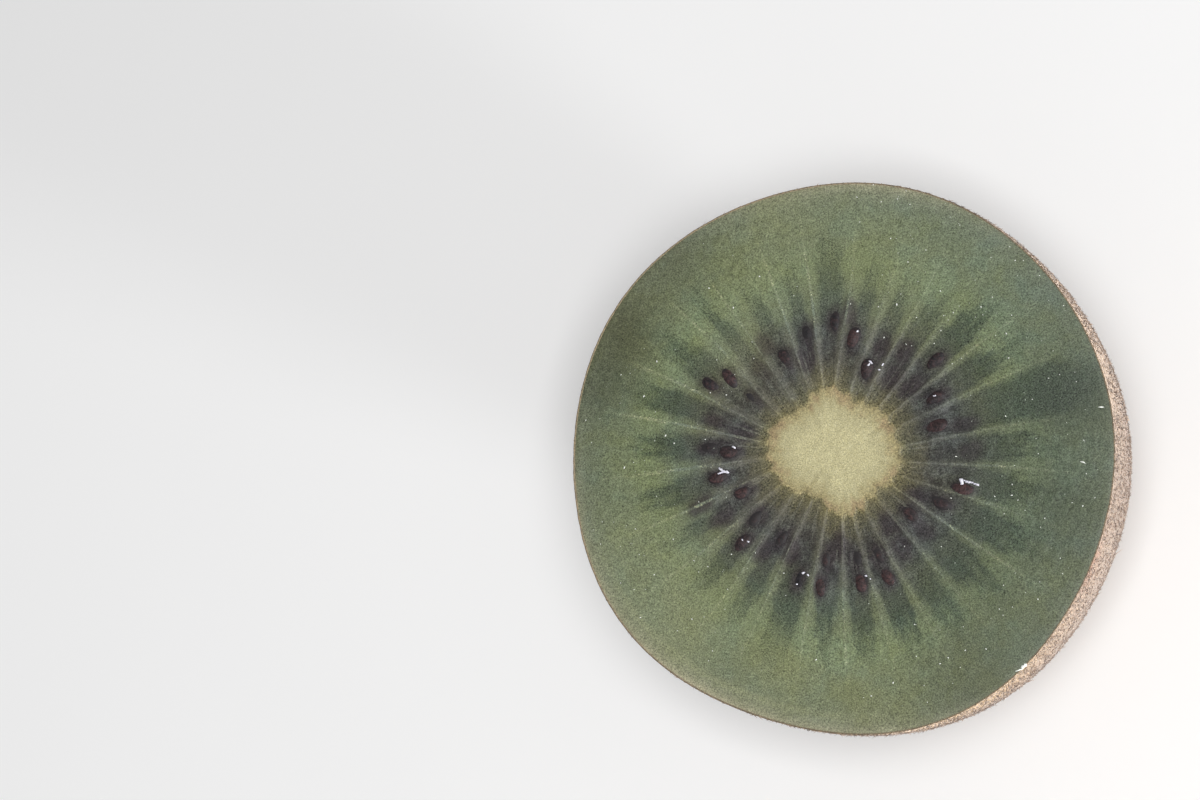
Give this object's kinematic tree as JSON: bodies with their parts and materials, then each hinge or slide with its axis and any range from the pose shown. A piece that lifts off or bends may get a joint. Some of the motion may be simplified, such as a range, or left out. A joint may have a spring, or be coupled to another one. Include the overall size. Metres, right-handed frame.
{
  "type": "kiwi fruit half",
  "caption": "Half of a green kiwi fruit, cut across and standing on its stalk end with the cut face up, with its core as a separate solid.",
  "frame": {"origin": "middle of the small flat foot at the stalk end, under the middle of the part's box, at the height of the surface the half stands on", "axes": "+Z along the fruit's axis, up from the foot to the cut face; +X and +Y lie in the cut face, with the cut face seen from above in the picture's own turn: +X to its right, +Y to its top"},
  "size_m": [0.0542, 0.053, 0.0325],
  "materials": {
    "flesh": "moist, grainy green fruit flesh",
    "core": "moist, pale, granular fruit core",
    "skin": "thin brown peel under short dry hairs",
    "seed": "smooth, wet, nearly black seed"
  },
  "bodies": {
    "root": {"flesh": "flesh", "core": "core"}
  },
  "joints": []
}
